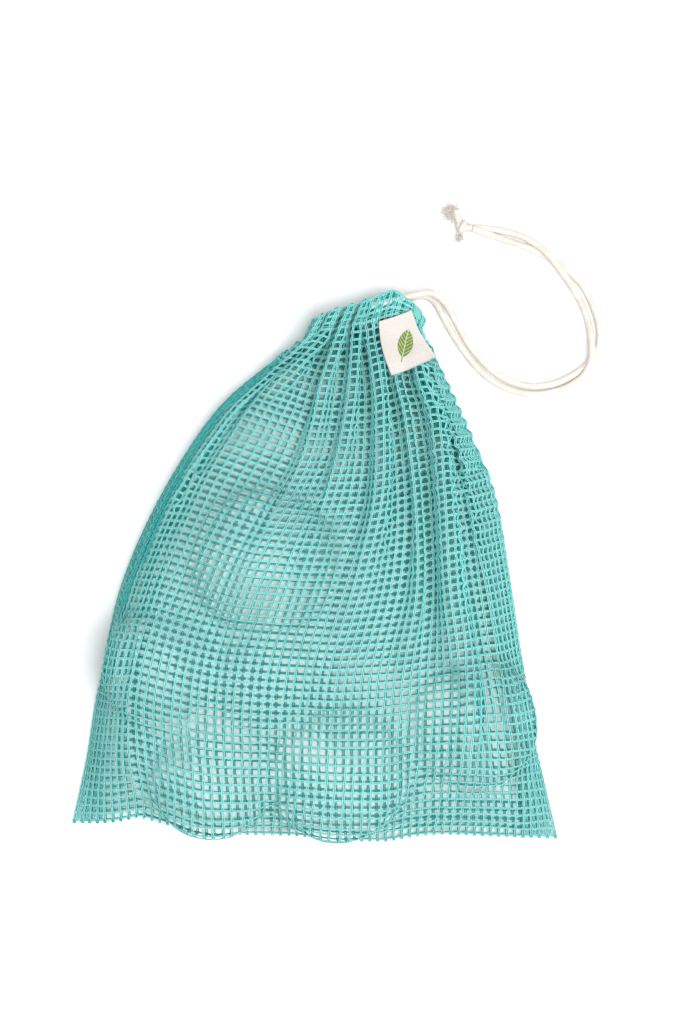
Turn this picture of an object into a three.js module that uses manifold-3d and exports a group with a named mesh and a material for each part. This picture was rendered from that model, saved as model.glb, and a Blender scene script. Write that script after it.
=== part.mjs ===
// A cotton mesh produce bag, filled out and lying on its back, with its mouth drawn up by a cord.
//
// Millimetres. +X is to the bag's right, +Y towards its mouth and +Z up, away from the surface it
// lies on. The origin is on that surface, under the middle of the bag.
//
// The bag is one length of net, folded at the bottom and sewn up both sides. Each seam's spare
// cloth is folded inside. The top is turned over as a casing for the drawstring, which goes once
// round the mouth. Its two ends leave through the open end of the casing and share one knot.

import * as THREE from 'three';
import { mergeVertices } from 'three/addons/utils/BufferGeometryUtils.js';
import Module from 'manifold-3d';

const wasm = await Module();
wasm.setup();

// ---- Driving dimensions ----

const GAP = 0.3; // between pieces that touch
const NET = 1.5; // thickness of the net
const SEAM_WIDTH = 10; // spare cloth inside each side seam
const SEAM_CLOTH = 1.6; // its thickness, pressed
const CORD = 3.5; // diameter of the drawstring
const THREAD = 0.7; // diameter of the sewing thread

// Side edges in plan, from the bottom corner to the neck.
const LEFT_EDGE = [[-125, -132], [-118, -100], [-112, -62], [-101, -12], [-80, 36], [-53, 78],
  [-28, 101]];
const RIGHT_EDGE = [[125, -140], [114, -90], [107, -44], [100, 4], [94, 38], [82, 66], [65, 102]];
const BOTTOM_BOW = 5.6; // how far the fold sags below its corners

// Bulges of the filled net in plan: x, y, radius, height.
const BULGES = [
  [-25, 2, 50, 64],
  [-76, -52, 40, 52],
  [-25, -56, 40, 50],
  [-52, -104, 38, 50],
  [11, -102, 46, 58],
  [80, -78, 42, 53],
];
const BELLY_HEIGHT = 30; // of the net between the bulges
const BULGE_BLEND = 3; // higher is sharper
const SIDE_ROLL = 0.13; // share of the width in which each side rolls down to its seam
const FOLD_ROLL = 0.09; // the same at the bottom fold, as a share of the length

// The mouth: a flat loop of casing, turned a little from the bag's own axis.
const MOUTH = new THREE.Vector2(28, 131.2);
const MOUTH_TILT = THREE.MathUtils.degToRad(14);
const CASING_DEPTH = 13; // along the neck
const CASING_THICK = 5.4; // two walls and the tunnel
const MOUTH_OPENING = 6.2; // left between the two halves of the casing
const CASING_RIGHT = 20; // open end, where the cord leaves, from the mouth's middle
const CASING_LEFT = 18; // where the casing turns round
const NECK_LEFT = 28; // the net's edges where they meet the casing
const NECK_RIGHT = 21;
const NECK_GAP = 0.5; // between the net's end and the casing
const TUNNEL_OFFSET = 2.5; // the drawn cord lies near the casing's outer edge

// The label is sewn in by its top edge, whose ends are plan points on the casing's hem. Its two
// lower corners are shares of the front's width and length.
const LABEL_HEM = [[33.2, 126.9], [50.2, 132.7]];
const LABEL_LOW = [[0.68, 0.872], [0.95, 0.905]];
const LABEL_THICK = 0.8;
const LABEL_LIFT = 0.8; // clear of the net, so that it can be turned up

const STRAND_INSIDE = 20; // of each strand inside the casing
const KNOT = { x: 76.4, y: 176.1, z: 3.7, size: [4, 3.7, 3.6] };
const KNOT_SOCKET = 6; // how deep a strand's end sits in the knot
const FRAY_LONG = { x: 69.6, y: 183.4, z: 2.7, size: [4.3, 3.4, 2.5], turn: 0.5 };
const FRAY_SHORT = { x: 75.2, y: 170.6, z: 1.7, size: [2.2, 1.3, 1.4] };

const OVERLOCK = { start: 0.05, end: 0.95, loops: 36 }; // shares of the side seam's length
const HEM_STITCH = { start: 2, count: 16, inset: 1.5 }; // along the casing, from its open end

// ---- How finely each piece is cut into flat faces ----

const NET_FACES = [34, 36];
const SEAM_FACES = 34;
const CASING_FACES = [24, 2];
const TUNNEL_FACES = [12, 30];
const CORD_FACES = 8;
const STRAND_STEPS = 76;
const TAIL_STEPS = 6;
const SOCKET_FACES = 10;
const THREAD_FACES = 5;
const LABEL_FACES = 8;
const LUMP_FACES = [16, 10];

// ---- Colours ----

const TEAL = 0x45b3a8;
const DEEP_TEAL = 0x1f8f86;
const NATURAL = 0xece5dc;
const LABEL_CREAM = 0xf1eee6;

// ---- Tools ----

const UP = new THREE.Vector3(0, 0, 1);
const clamp = THREE.MathUtils.clamp;
const smooth = (x, low, high) => THREE.MathUtils.smoothstep(x, low, high);

function piece(name, geometry, color, roughness = 0.9) {
  const material = new THREE.MeshStandardMaterial({ color, roughness, metalness: 0 });
  const mesh = new THREE.Mesh(geometry, material);
  mesh.name = name;
  return mesh;
}

function bare(geometry) {
  geometry.deleteAttribute('normal');
  geometry.deleteAttribute('uv');
  return mergeVertices(geometry, 1e-4);
}

// A closed sheet: a unit box whose points move to place(u, v, side), with side 1 on top.
function bentSheet(columns, rows, place) {
  const box = new THREE.BoxGeometry(1, 1, 1, columns, rows, 1);
  const points = box.attributes.position;
  for (let i = 0; i < points.count; i += 1) {
    const p = place(points.getX(i) + 0.5, points.getY(i) + 0.5, 2 * points.getZ(i));
    points.setXYZ(i, p.x, p.y, p.z);
  }
  return bare(box);
}

// The point at a height above surface(u, v), along the surface's normal, or straight up at the end
// row v = 1, so that the end stays flat.
function above(surface, u, v, height) {
  const step = 1e-3;
  const across = surface(clamp(u + step, 0, 1), v).sub(surface(clamp(u - step, 0, 1), v));
  const along = surface(u, clamp(v + step, 0, 1)).sub(surface(u, clamp(v - step, 0, 1)));
  const normal = across.cross(along).normalize().lerp(UP, smooth(v, 0.9, 0.995));
  return surface(u, v).addScaledVector(normal, height);
}

function tube(curve, diameter, sides, steps) {
  const section = new THREE.Shape();
  for (let i = 0; i < sides; i += 1) {
    const a = (2 * Math.PI * i) / sides;
    const x = (diameter / 2) * Math.cos(a);
    const y = (diameter / 2) * Math.sin(a);
    if (i) section.lineTo(x, y);
    else section.moveTo(x, y);
  }
  section.closePath();
  return bare(new THREE.ExtrudeGeometry(section, { extrudePath: curve, steps, bevelEnabled: false }));
}

function solid(geometry) {
  const mesh = { numProp: 3, vertProperties: geometry.attributes.position.array };
  mesh.triVerts = new Uint32Array(geometry.index.array);
  return new wasm.Manifold(new wasm.Mesh(mesh));
}

// The body with each tool cut away.
function carve(body, ...tools) {
  const cut = tools.reduce((left, tool) => left.subtract(solid(tool)), solid(body)).getMesh();
  const geometry = new THREE.BufferGeometry();
  geometry.setAttribute('position', new THREE.BufferAttribute(cut.vertProperties, 3));
  geometry.setIndex(new THREE.BufferAttribute(cut.triVerts, 1));
  return geometry;
}

function lump({ x, y, z, size, turn = 0 }) {
  const ball = bare(new THREE.SphereGeometry(1, ...LUMP_FACES));
  return ball.scale(...size).rotateZ(turn).translate(x, y, z);
}

// ---- The bag's outline ----

// A place by the mouth: across it to the right, out along the neck, and up.
function atMouth(across, out, up) {
  const p = new THREE.Vector2(across, out).rotateAround(new THREE.Vector2(), MOUTH_TILT).add(MOUTH);
  return new THREE.Vector3(p.x, p.y, up);
}

function edgeCurve(points, neckEnd) {
  const end = atMouth(neckEnd, -CASING_DEPTH / 2 - NECK_GAP, 0);
  return new THREE.CatmullRomCurve3([...points.map(([x, y]) => new THREE.Vector3(x, y, 0)), end]);
}

const leftEdge = edgeCurve(LEFT_EDGE, -NECK_LEFT);
const rightEdge = edgeCurve(RIGHT_EDGE, NECK_RIGHT);

// A place in plan: u from the left edge to the right, v from the bottom fold to the neck.
function plan(u, v) {
  const p = leftEdge.getPointAt(v).lerp(rightEdge.getPointAt(v), u);
  p.y -= BOTTOM_BOW * Math.sin(Math.PI * u) * (1 - v) ** 6;
  return p;
}

// ---- The net ----

const BACK_TOP = NET;
const SEAM_TOP = BACK_TOP + GAP + SEAM_CLOTH;
const CASING_TOP = CASING_THICK + MOUTH_OPENING + CASING_THICK;
const STITCH_TOP = CASING_TOP + GAP + 1.5 * THREAD; // every other stitch stands half a thread higher

function bulge(x, y) {
  const domes = BULGES.map(([cx, cy, radius, height]) => {
    const away = clamp(Math.hypot(x - cx, y - cy) / radius, 0, 1);
    return (height * Math.sqrt(1 - away ** 2)) ** BULGE_BLEND;
  });
  return domes.reduce((sum, dome) => sum + dome, 0);
}

// The middle of the front net's thickness.
function front(u, v) {
  const p = plan(u, v);
  const edge = BACK_TOP + GAP + NET / 2 + (SEAM_CLOTH + GAP) * smooth(v, 0, 0.03);
  const neck = CASING_TOP - NET / 2 - edge;
  const base = THREE.MathUtils.lerp(BELLY_HEIGHT, neck, smooth(v, 0.6, 1));
  const side = smooth(Math.min(u, 1 - u), 0, SIDE_ROLL) ** 0.8;
  const roll = side * smooth(v, 0, FOLD_ROLL) ** 0.8;
  p.z = edge + roll * (base ** BULGE_BLEND + bulge(p.x, p.y)) ** (1 / BULGE_BLEND);
  return p;
}

function netFront() {
  return bentSheet(...NET_FACES, (u, v, side) => above(front, u, v, (side * NET) / 2));
}

function netBack() {
  const around = [];
  const steps = NET_FACES[1];
  for (let i = 0; i <= steps; i += 1) around.push(plan(0, 1 - i / steps));
  for (let i = 1; i < steps; i += 1) around.push(plan(i / steps, 0));
  for (let i = 0; i <= steps; i += 1) around.push(plan(1, i / steps));
  const outline = new THREE.Shape(around.map((p) => new THREE.Vector2(p.x, p.y)));
  return bare(new THREE.ExtrudeGeometry(outline, { depth: NET, bevelEnabled: false }));
}

// The spare cloth of a side seam, folded in between front and back.
function seamCloth(edgeShare) {
  const inward = edgeShare ? -1 : 1;
  return bentSheet(1, SEAM_FACES, (across, along, side) => {
    const v = THREE.MathUtils.lerp(OVERLOCK.start, OVERLOCK.end, along);
    const p = plan(edgeShare, v);
    p.x += inward * SEAM_WIDTH * (edgeShare ? 1 - across : across);
    p.z = SEAM_TOP - (SEAM_CLOTH * (1 - side)) / 2;
    return p;
  });
}

// Overlock thread, up and down along the raw edge of a side seam's spare cloth, inside the bag.
function seamThread(edgeShare) {
  const inward = edgeShare ? -1 : 1;
  const reach = inward * (SEAM_WIDTH + 2 * GAP + THREAD / 2);
  const low = BACK_TOP + GAP + THREAD / 2;
  const turns = 2 * OVERLOCK.loops;
  const points = [];
  for (let i = 0; i <= turns; i += 1) {
    const p = plan(edgeShare, THREE.MathUtils.lerp(OVERLOCK.start, OVERLOCK.end, i / turns));
    p.x += reach;
    p.z = i % 2 ? SEAM_TOP - THREAD / 2 : low;
    points.push(p);
  }
  return tube(new THREE.CatmullRomCurve3(points), THREAD, THREAD_FACES, 2 * turns);
}

// ---- The casing and the cord inside it ----

const LOOP_RADIUS = (CASING_THICK + MOUTH_OPENING) / 2;
const LOOP_STRAIGHT = CASING_RIGHT + CASING_LEFT;
const LOOP_LENGTH = 2 * LOOP_STRAIGHT + Math.PI * LOOP_RADIUS;

// The middle of the casing at a distance from the front half's open end, round to the back half's.
// lift is added outwards from the loop's own middle.
function casingPoint(distance, out, lift) {
  const middle = CASING_THICK / 2 + LOOP_RADIUS;
  const reach = LOOP_RADIUS + lift;
  const turned = clamp((distance - LOOP_STRAIGHT) / LOOP_RADIUS, 0, Math.PI);
  const returned = Math.max(distance - LOOP_LENGTH + LOOP_STRAIGHT, 0);
  const straight = Math.min(distance, LOOP_STRAIGHT) - returned;
  const across = CASING_RIGHT - straight - reach * Math.sin(turned);
  return atMouth(across, out, middle + reach * Math.cos(turned));
}

class CasingLine extends THREE.Curve {
  constructor(start, end) {
    super();
    this.start = start;
    this.end = end;
  }

  getPoint(t, target = new THREE.Vector3()) {
    return target.copy(casingPoint(THREE.MathUtils.lerp(this.start, this.end, t), TUNNEL_OFFSET, 0));
  }
}

function casingHalf(start, end) {
  const outward = start < end ? 1 : -1;
  const band = bentSheet(...CASING_FACES, (u, v, side) => {
    const distance = THREE.MathUtils.lerp(end, start, u);
    return casingPoint(distance, CASING_DEPTH * (v - 0.5), (outward * side * CASING_THICK) / 2);
  });
  const past = outward * 2; // so that the tunnel is cut right through both ends
  const tunnel = tube(new CasingLine(start - past, end + past), CORD + 2 * GAP, ...TUNNEL_FACES);
  return carve(band, tunnel);
}

const casingFront = () => casingHalf(0, LOOP_LENGTH / 2 - GAP / 2);
const casingBack = () => casingHalf(LOOP_LENGTH, LOOP_LENGTH / 2 + GAP / 2);

function cordInCasing() {
  const line = new CasingLine(STRAND_INSIDE + GAP, LOOP_LENGTH - STRAND_INSIDE - GAP);
  return tube(line, CORD, CORD_FACES, TUNNEL_FACES[1]);
}

// The running stitch that holds down the casing's hem.
function casingThread() {
  const points = [];
  for (let i = 0; i <= HEM_STITCH.count; i += 1) {
    const distance = THREE.MathUtils.lerp(HEM_STITCH.start, LOOP_STRAIGHT, i / HEM_STITCH.count);
    const lift = CASING_THICK / 2 + GAP + THREAD / 2 + (i % 2 ? THREAD / 2 : 0);
    points.push(casingPoint(distance, HEM_STITCH.inset - CASING_DEPTH / 2, lift));
  }
  const line = new THREE.CatmullRomCurve3(points);
  return tube(line, THREAD, THREAD_FACES, 3 * HEM_STITCH.count);
}

// ---- The label ----

// The middle of the label's thickness: straight from its lower edge over the net up to the hem.
function labelMiddle(across, up) {
  const [u, v] = LABEL_LOW[0].map((low, i) => THREE.MathUtils.lerp(low, LABEL_LOW[1][i], across));
  const [x, y] = LABEL_HEM[0].map((left, i) => THREE.MathUtils.lerp(left, LABEL_HEM[1][i], across));
  const hem = new THREE.Vector3(x, y, STITCH_TOP + GAP + LABEL_THICK / 2);
  return above(front, u, v, NET / 2 + LABEL_LIFT + LABEL_THICK / 2).lerp(hem, up);
}

function labelSheet() {
  return bentSheet(LABEL_FACES, LABEL_FACES, (across, up, side) => {
    return above(labelMiddle, across, up, (side * LABEL_THICK) / 2);
  });
}

// ---- The free ends of the drawstring ----

// Both strands leave the casing side by side, the front one above, and cross twice on the way.
const STRAND_A = [[57, 140.9, 12.4], [61.8, 140.6, 9], [66, 138, 5.6], [69.6, 133.6, 2.9],
  [73, 127.6, 1.9], [77, 120.2, 1.9], [81.6, 113, 1.9], [87.2, 106.2, 1.9], [94, 100.2, 1.9],
  [102.4, 95.6, 1.9], [112.8, 93.3, 1.9], [123.6, 94.6, 1.9], [133.4, 98.8, 1.9], [141, 104.2, 1.9],
  [145.8, 110, 1.9], [148, 116.8, 1.9], [147.6, 124.6, 1.9], [145.4, 132.6, 1.9], [141.8, 141, 1.9],
  [136.6, 148.6, 1.9], [129.4, 155, 1.9], [121.4, 160, 1.9], [113, 164.1, 1.9], [105, 167.2, 1.9],
  [97.6, 169.6, 2.2], [91.6, 171.4, 3.9], [86.6, 173.2, 5.4], [81.6, 174.8, 5.9]];
const STRAND_B = [[55.4, 140.2, 2.3], [59, 139.5, 1.9], [62.4, 136.9, 1.9], [65.2, 132.4, 1.9],
  [68.6, 125.6, 1.9], [73.2, 118, 1.9], [78, 110.8, 1.9], [83.8, 103.6, 1.9], [91, 97, 1.9],
  [100.6, 91.8, 1.9], [113, 89.2, 1.9], [125.2, 90.8, 1.9], [134.6, 95, 2.5], [140.6, 100.6, 4.9],
  [143.2, 107, 6], [143.6, 114, 5], [143, 121.4, 2.9], [141, 129.8, 1.9], [137.4, 138.4, 2.2],
  [133, 145.6, 4.2], [127.8, 152.8, 5.9], [122.2, 160, 6], [116, 166, 4.5], [109.2, 170.4, 2.5],
  [102, 172.9, 1.9], [94.6, 174.6, 1.9], [88, 175.4, 1.9], [81.8, 175.6, 1.9]];
const TAIL = [[75.4, 177.6, 3.2], [74.6, 179.8, 3.1], [74, 182, 2.9], [73.7, 184.6, 2.7]];

const points3 = (rows) => rows.map(([x, y, z]) => new THREE.Vector3(x, y, z));

// A strand starts inside the casing, at a height, and comes straight out of it.
function strandCurve(height, route) {
  const inside = [0, 7, 14, 20, 25].map((across) => atMouth(across, TUNNEL_OFFSET, height));
  return new THREE.CatmullRomCurve3([...inside, ...points3(route)], false, 'centripetal');
}

const strandA = strandCurve(CASING_THICK / 2 + 2 * LOOP_RADIUS, STRAND_A);
const strandB = strandCurve(CASING_THICK / 2, STRAND_B);
const tailCurve = new THREE.CatmullRomCurve3(points3(TAIL));

// A curve's last stretch, or its first, run on past its end, to cut its socket in the knot.
function socket(curve, atEnd) {
  const end = curve.getPointAt(atEnd);
  const outward = curve.getTangentAt(atEnd).multiplyScalar(atEnd ? 1 : -1);
  const inner = end.clone().addScaledVector(outward, -KNOT_SOCKET);
  const outer = end.clone().addScaledVector(outward, GAP);
  return tube(new THREE.LineCurve3(inner, outer), CORD + 2 * GAP, SOCKET_FACES, 1);
}

const knot = () => carve(lump(KNOT), socket(strandA, 1), socket(strandB, 1), socket(tailCurve, 0));

function frayedLong() {
  return carve(lump(FRAY_LONG), tube(tailCurve, CORD + 2 * GAP, SOCKET_FACES, TAIL_STEPS));
}

// ---- The bag ----

const bag = new THREE.Group();
bag.add(
  piece('net_front', netFront(), TEAL),
  piece('net_back', netBack(), TEAL),
  piece('seam_cloth_left', seamCloth(0), DEEP_TEAL),
  piece('seam_cloth_right', seamCloth(1), DEEP_TEAL),
  piece('seam_thread_left', seamThread(0), DEEP_TEAL),
  piece('seam_thread_right', seamThread(1), DEEP_TEAL),
  piece('casing_front', casingFront(), TEAL),
  piece('casing_back', casingBack(), TEAL),
  piece('casing_thread', casingThread(), DEEP_TEAL),
  piece('drawstring_in_casing', cordInCasing(), NATURAL),
);

const label = new THREE.Group();
label.add(piece('label', labelSheet(), LABEL_CREAM, 0.85));

const drawstring = new THREE.Group();
drawstring.add(
  piece('drawstring_strand_a', tube(strandA, CORD, CORD_FACES, STRAND_STEPS), NATURAL),
  piece('drawstring_strand_b', tube(strandB, CORD, CORD_FACES, STRAND_STEPS), NATURAL),
  piece('drawstring_knot', knot(), NATURAL),
  piece('drawstring_tail', tube(tailCurve, CORD, CORD_FACES, TAIL_STEPS), NATURAL),
  piece('frayed_end_long', frayedLong(), NATURAL),
  piece('frayed_end_short', lump(FRAY_SHORT), NATURAL),
);

const part = new THREE.Group();
part.add(bag, label, drawstring);

export default part;
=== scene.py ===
"""A cotton mesh produce bag, filled out and lying on its back, with its mouth drawn up by a cord.

Lengths are in metres, in the frame of the CAD model: +X to the bag's right, +Y towards its mouth,
+Z up. Millimetres times MM are used where a size is easier to read that way.
"""

import math

import bpy
import numpy as np
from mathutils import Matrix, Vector


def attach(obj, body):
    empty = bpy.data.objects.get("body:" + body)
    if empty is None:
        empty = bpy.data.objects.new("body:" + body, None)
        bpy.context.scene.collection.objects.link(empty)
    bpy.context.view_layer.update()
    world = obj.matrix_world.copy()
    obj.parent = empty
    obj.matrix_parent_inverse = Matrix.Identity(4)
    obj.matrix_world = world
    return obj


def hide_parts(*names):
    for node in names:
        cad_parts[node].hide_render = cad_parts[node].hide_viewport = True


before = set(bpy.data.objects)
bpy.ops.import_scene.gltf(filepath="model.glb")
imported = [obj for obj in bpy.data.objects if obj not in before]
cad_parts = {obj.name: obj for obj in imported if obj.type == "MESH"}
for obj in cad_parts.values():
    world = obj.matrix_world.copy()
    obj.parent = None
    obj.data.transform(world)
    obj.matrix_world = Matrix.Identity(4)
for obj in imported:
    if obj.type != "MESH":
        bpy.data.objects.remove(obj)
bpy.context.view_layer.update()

MM = 0.001
TINY = 1e-9

# ---- Driving sizes, in millimetres ----

BAG_WIDTH = 254.0
BAG_LENGTH = 305.0
COLUMNS = 61  # warp pairs across one side of the bag
ROWS = 73  # weft pairs from the bottom fold to the top of the casing
CELL_ACROSS = BAG_WIDTH / (COLUMNS - 1)
CELL_ALONG = BAG_LENGTH / (ROWS - 1)
CASING_ROWS = 3
HEM_ROW = ROWS - 1 - CASING_ROWS
CORD = 3.5
THREAD = 0.5
SEAM_CELLS = 3  # width of the spare cloth inside each side seam

# The net's ridges. Each runs along a warp column from the bottom fold up to the casing's hem: the
# column and its plan line. The first and last are the side seams.
RIDGES = (
    (0, [(-125, -132), (-118, -100), (-112, -62), (-101, -12), (-80, 36), (-53, 78), (-28, 101),
         (-4, 117)]),
    (3, [(-113, -131), (-110, -95), (-104, -60), (-94, -14), (-74, 33), (-47, 75), (-22, 99),
         (-2, 118.5)]),
    (8, [(-91, -130), (-95, -80), (-88, -40), (-74, 6), (-59, 42), (-39, 75), (-25, 92), (-11, 106),
         (3, 121)]),
    (17, [(-53, -139), (-52, -60), (-38, -10), (-22, 24), (-8, 50), (-1, 72), (4, 95), (13, 122.5)]),
    (23, [(-28, -140), (-24, -60), (-8, -5), (7, 40), (14, 66), (18, 92), (20, 124)]),
    (30, [(2, -142), (8, -60), (22, -5), (31, 34), (32, 76), (30, 100), (26, 125.5)]),
    (39.5, [(42, -142), (47, -60), (54, -12), (53, 34), (48, 76), (43, 100), (41, 130)]),
    (46, [(70, -139), (75, -60), (69, -10), (66, 40), (63, 76), (56, 98), (50, 129)]),
    (55.5, [(108, -140), (105, -95), (96, -45), (88, 0), (81, 36), (73, 65), (60, 98), (54, 124)]),
    (60, [(125, -140), (114, -90), (107, -44), (100, 4), (94, 38), (82, 66), (65, 102), (53, 121)]),
)
# The trough between each ridge and the next, from the second ridge on: its column, and how far it
# lies on the way to the next ridge where the folds are deep.
TROUGHS = ((6.6, 0.72), (14.6, 0.86), (21.2, 0.8), (27.6, 0.74), (36.2, 0.74), (41.4, 0.25),
           (52.4, 0.7))
# Shares of the bag's length where troughs start, and where they are fully shaped.
FOLD_START, FOLD_FULL = 0.3, 0.62
RIGHT_LEAD = 0.05  # share of the length by which the right edge's rows run ahead of the middle's
LEAD_START = 36  # the column where that begins

# Top of the gathered casing in plan, from its closed end to its open end.
CASING_TOP = [(1, 127), (12, 132), (24, 135), (33, 139.5), (41, 142), (46, 138.5), (52, 133.5),
              (56.5, 127)]
# The bottom fold in plan, from corner to corner.
FOLD = [(-125, -132), (-104, -131), (-86, -128.5), (-65, -138), (-13, -139.5), (32, -143),
        (57, -138.5), (98, -140), (125, -140)]
# What fills the bag: middle in plan, radius in plan, height.
FILLING = [(-25, 2, 36, 62), (-77, -52, 30, 50), (-25, -58, 29, 50), (-52, -108, 30, 50),
           (12, -105, 34, 58), (81, -79, 32, 52)]
# How high the net is held between its bulges: place along the bag, height.
BELLY = ((-141, 0), (-128, 14), (-100, 30), (-40, 35), (20, 30), (70, 19), (105, 13), (125, 11))
BELLY_ROLL = 26  # distance over which the belly rolls down to a side seam

# ---- Camera, light and floor ----

VIEW_CENTRE = (13.8, 28.1)
VIEW_HEIGHT = 532.5  # of the ground that the picture takes in
CAMERA_DISTANCE = 1300.0
CAMERA_REACH = 20  # metres
SENSOR_WIDTH = 36

# Each light's place, its width and its power.
KEY_LIGHT = ((0.5, -0.25, 1.6), 1.2, 29)
FILL_LIGHT = ((-0.7, 0.7, 1.5), 1.4, 7)
WORLD_STRENGTH = 0.4
FLOOR_SIZE = 8
FLOOR_SHADE, FLOOR_ROUGHNESS = 0.93, 0.9


def make_camera():
    data = bpy.data.cameras.new("camera")
    data.sensor_width = SENSOR_WIDTH
    data.lens = data.sensor_width * CAMERA_DISTANCE / VIEW_HEIGHT
    data.clip_end = CAMERA_REACH
    camera = bpy.data.objects.new("camera", data)
    camera.location = (VIEW_CENTRE[0] * MM, VIEW_CENTRE[1] * MM, CAMERA_DISTANCE * MM)
    bpy.context.collection.objects.link(camera)
    bpy.context.scene.camera = camera


def area_light(name, place, size, power):
    data = bpy.data.lights.new(name, "AREA")
    data.shape = "DISK"
    data.size = size
    data.energy = power
    light = bpy.data.objects.new(name, data)
    light.location = place
    light.rotation_euler = (-Vector(place)).to_track_quat("-Z", "Y").to_euler()
    bpy.context.collection.objects.link(light)


def make_studio():
    world = bpy.data.worlds.new("studio")
    world.use_nodes = True
    background = world.node_tree.nodes["Background"]
    background.inputs["Color"].default_value = (1, 1, 1, 1)
    background.inputs["Strength"].default_value = WORLD_STRENGTH
    bpy.context.scene.world = world
    bpy.context.scene.view_settings.view_transform = "Standard"
    area_light("key", *KEY_LIGHT)
    area_light("fill", *FILL_LIGHT)
    bpy.ops.mesh.primitive_plane_add(size=FLOOR_SIZE)
    floor = bpy.context.object
    floor.name = "floor"
    material = bpy.data.materials.new("floor")
    material.use_nodes = True
    shader = material.node_tree.nodes["Principled BSDF"]
    shader.inputs["Base Color"].default_value = (FLOOR_SHADE, FLOOR_SHADE, FLOOR_SHADE, 1)
    shader.inputs["Roughness"].default_value = FLOOR_ROUGHNESS
    floor.data.materials.append(material)


# ---- Materials ----

SHEEN_ROUGHNESS = 0.5
SPECULAR = 0.25  # cotton reflects little


def new_material(name, roughness, sheen):
    material = bpy.data.materials.new(name)
    material.use_nodes = True
    shader = material.node_tree.nodes["Principled BSDF"]
    shader.inputs["Roughness"].default_value = roughness
    shader.inputs["Sheen Weight"].default_value = sheen
    shader.inputs["Sheen Roughness"].default_value = SHEEN_ROUGHNESS
    shader.inputs["Specular IOR Level"].default_value = SPECULAR
    return material, material.node_tree, shader


def add_node(tree, kind, **settings):
    node = tree.nodes.new(kind)
    for key, value in settings.items():
        if key in node.inputs:
            node.inputs[key].default_value = value
        else:
            setattr(node, key, value)
    return node


def mix_colours(tree, factor, low, high):
    ramp = tree.nodes.new("ShaderNodeMix")
    ramp.data_type = "RGBA"
    tree.links.new(factor, ramp.inputs[0])
    for socket, value in ((ramp.inputs[6], low), (ramp.inputs[7], high)):
        if isinstance(value, tuple):
            socket.default_value = (*value, 1)
        else:
            tree.links.new(value, socket)
    return ramp.outputs[2]


def math_node(tree, operation, *values):
    node = add_node(tree, "ShaderNodeMath", operation=operation)
    for socket, value in zip(node.inputs, values):
        if isinstance(value, (int, float)):
            socket.default_value = value
        else:
            tree.links.new(value, socket)
    return node.outputs[0]


def bump(tree, shader, height, strength, distance):
    node = add_node(tree, "ShaderNodeBump", Strength=strength, Distance=distance)
    tree.links.new(height, node.inputs["Height"])
    tree.links.new(node.outputs["Normal"], shader.inputs["Normal"])


def uv_place(tree):
    """Places on a piece: along a yarn and around it, or across and along the label."""
    return add_node(tree, "ShaderNodeUVMap", uv_map="yarn").outputs["UV"]


DYE_SCALE, FIBRE_SCALE = 140.0, 2600.0
FIBRE_SHARE = 0.6  # of a fibre's shade against the dye's
SHADE_LOW, SHADE_HIGH = 0.5, 1.1  # of dye and fibres together
PAINTED_HIGHLIGHT_FALL = 2.6  # how fast the painted highlight narrows away from a yarn's outer side
PLY_RELIEF, PLY_DEPTH = 0.5, 0.08 * MM


def yarn_material(name, low, high, roughness=0.85, sheen=0.25, turns=3.0, painted_highlight_share=0.0):
    """Twisted cotton: diagonal plies, stray fibres, uneven dye, and optionally a painted highlight on its
    outer side and painted shade on its inner side.
    """
    material, tree, shader = new_material(name, roughness, sheen)
    place = tree.nodes.new("ShaderNodeTexCoord")
    yarn = uv_place(tree)
    dye = add_node(tree, "ShaderNodeTexNoise", Scale=DYE_SCALE, Detail=3.0)
    tree.links.new(place.outputs["Object"], dye.inputs["Vector"])
    fibre = add_node(tree, "ShaderNodeTexNoise", Scale=FIBRE_SCALE, Detail=2.0)
    tree.links.new(place.outputs["Object"], fibre.inputs["Vector"])
    ply = add_node(tree, "ShaderNodeTexWave", bands_direction="DIAGONAL", Scale=turns, Distortion=0.4)
    tree.links.new(yarn, ply.inputs["Vector"])
    shade = math_node(tree, "MULTIPLY_ADD", fibre.outputs["Fac"], FIBRE_SHARE,
                      dye.outputs["Fac"])
    spread = add_node(tree, "ShaderNodeMapRange")
    spread.inputs["From Min"].default_value = SHADE_LOW
    spread.inputs["From Max"].default_value = SHADE_HIGH
    tree.links.new(shade, spread.inputs["Value"])
    factor = spread.outputs["Result"]
    # Painted highlight and shade: the colour follows the side of the yarn, pale on its outer side and
    # dark on its inner side.
    if painted_highlight_share:
        split = tree.nodes.new("ShaderNodeSeparateXYZ")
        tree.links.new(yarn, split.inputs[0])
        outer = math_node(tree, "COSINE", math_node(tree, "MULTIPLY", split.outputs[1], 2 * math.pi))
        outer = math_node(tree, "MULTIPLY_ADD", outer, 0.5, 0.5)
        outer = math_node(tree, "POWER", outer, PAINTED_HIGHLIGHT_FALL)
        factor = math_node(tree, "ADD", math_node(tree, "MULTIPLY", outer, painted_highlight_share),
                           math_node(tree, "MULTIPLY", factor, 1 - painted_highlight_share))
    tree.links.new(mix_colours(tree, factor, low, high), shader.inputs["Base Color"])
    relief = math_node(tree, "ADD", ply.outputs["Fac"], fibre.outputs["Fac"])
    bump(tree, shader, relief, PLY_RELIEF, PLY_DEPTH)
    return material


LEAF_MIDDLE = (14.6, 14.0)  # on the label, in millimetres from its lower left corner
LEAF_RADIUS, LEAF_OFFSET = 10.2, 5.6  # the leaf is what two circles share
LEAF_TURN = math.radians(52)
LEAF_VEIN, VEIN_GAP = 0.22, 2.3
VEIN_SLANT, SIDE_VEIN = 0.9, 1.4  # a side vein's slant, and its width against the midrib's half
STALK_MIDDLE, STALK_HALF_LENGTH, STALK_HALF_WIDTH = 9.6, 1.6, 0.3


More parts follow.
